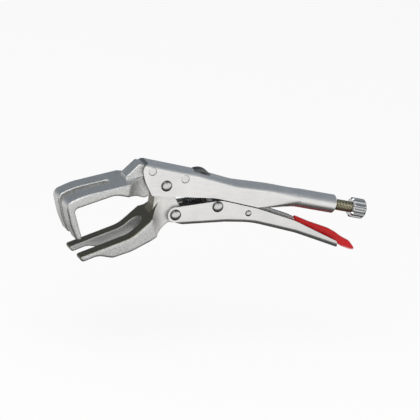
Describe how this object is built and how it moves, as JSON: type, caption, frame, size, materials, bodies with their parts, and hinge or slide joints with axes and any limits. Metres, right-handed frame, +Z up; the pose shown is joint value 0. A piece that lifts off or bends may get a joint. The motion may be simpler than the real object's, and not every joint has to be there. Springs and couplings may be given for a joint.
{
  "type": "locking pliers",
  "caption": "Locking welding pliers: forged U-shaped jaws on a pressed steel frame, toggle handle with sleeved release lever, and a rear adjusting screw with a fluted knob.",
  "frame": {"origin": "middle of the tool's length and width, on the surface that the lower jaw's prongs and the lever's tip stand on", "axes": "+X from the jaws to the knob, +Y across the tool along the pivots, +Z up"},
  "size_m": [0.2937, 0.038, 0.0878],
  "materials": {
    "sheet_steel": "satin nickel plate",
    "forged_steel": "plated over a forged surface",
    "rivet_steel": "plated",
    "screw_zinc": "zinc plate",
    "knob_steel": "bright plate",
    "spring_steel": "drawn wire",
    "red_vinyl": "dipped vinyl"
  },
  "bodies": {
    "frame": {"upper_handle": "sheet_steel", "fixed_jaw": "forged_steel", "fixed_jaw_rivet_front": "rivet_steel", "fixed_jaw_rivet_rear": "rivet_steel", "jaw_pivot_rivet": "rivet_steel"},
    "lower_jaw": {"lower_jaw": "forged_steel"},
    "lower_handle": {"lower_handle": "sheet_steel", "handle_pivot_rivet": "rivet_steel", "link_rivet": "rivet_steel", "lever_rivet": "rivet_steel"},
    "toggle_link": {"toggle_link": "sheet_steel"},
    "jaw_spring": {"jaw_spring": "spring_steel"},
    "release_lever": {"release_lever": "sheet_steel", "lever_sleeve": "red_vinyl"},
    "adjusting_screw": {"adjusting_screw": "screw_zinc"},
    "adjusting_knob": {"adjusting_knob": "knob_steel"}
  },
  "joints": [
    {"name": "jaw_pivot", "type": "hinge", "parent": "frame", "child": "lower_jaw", "pos_m": [-0.0513, 0, 0.06693], "axis": [0, -1, 0], "range_deg": [0, 20]},
    {"name": "handle_pivot", "type": "hinge", "parent": "lower_jaw", "child": "lower_handle", "pos_m": [-0.0394, 0, 0.03943], "axis": [0, 1, 0], "range_deg": [0, 58.6]},
    {"name": "link_pivot", "type": "hinge", "parent": "lower_handle", "child": "toggle_link", "pos_m": [0.0001, 0, 0.04643], "axis": [0, -1, 0], "range_deg": [0, 55.2]},
    {"name": "spring_swing", "type": "hinge", "parent": "lower_jaw", "child": "jaw_spring", "pos_m": [-0.0316, 0, 0.04843], "axis": [0, 1, 0], "range_deg": [0, 28.7]},
    {"name": "lever_release", "type": "hinge", "parent": "lower_handle", "child": "release_lever", "pos_m": [0.0303, 0, 0.03963], "axis": [0, -1, 0], "range_deg": [0, 6]},
    {"name": "screw_travel", "type": "slide", "parent": "frame", "child": "adjusting_screw", "axis": [0.9828, 0, -0.1848], "range_m": [0, 0.009]},
    {"name": "knob_turn", "type": "hinge", "parent": "adjusting_screw", "child": "adjusting_knob", "pos_m": [0.1155, 0, 0.04333], "axis": [0.9828, 0, -0.1848], "range_deg": [0, 2160]}
  ],
  "couplings": [
    {"joint": "handle_pivot", "follows": "jaw_pivot", "ratio": 2.927},
    {"joint": "link_pivot", "follows": "jaw_pivot", "ratio": 2.757},
    {"joint": "spring_swing", "follows": "jaw_pivot", "ratio": 1.435},
    {"joint": "knob_turn", "follows": "screw_travel", "rad_per_m": 4188.8}
  ]
}
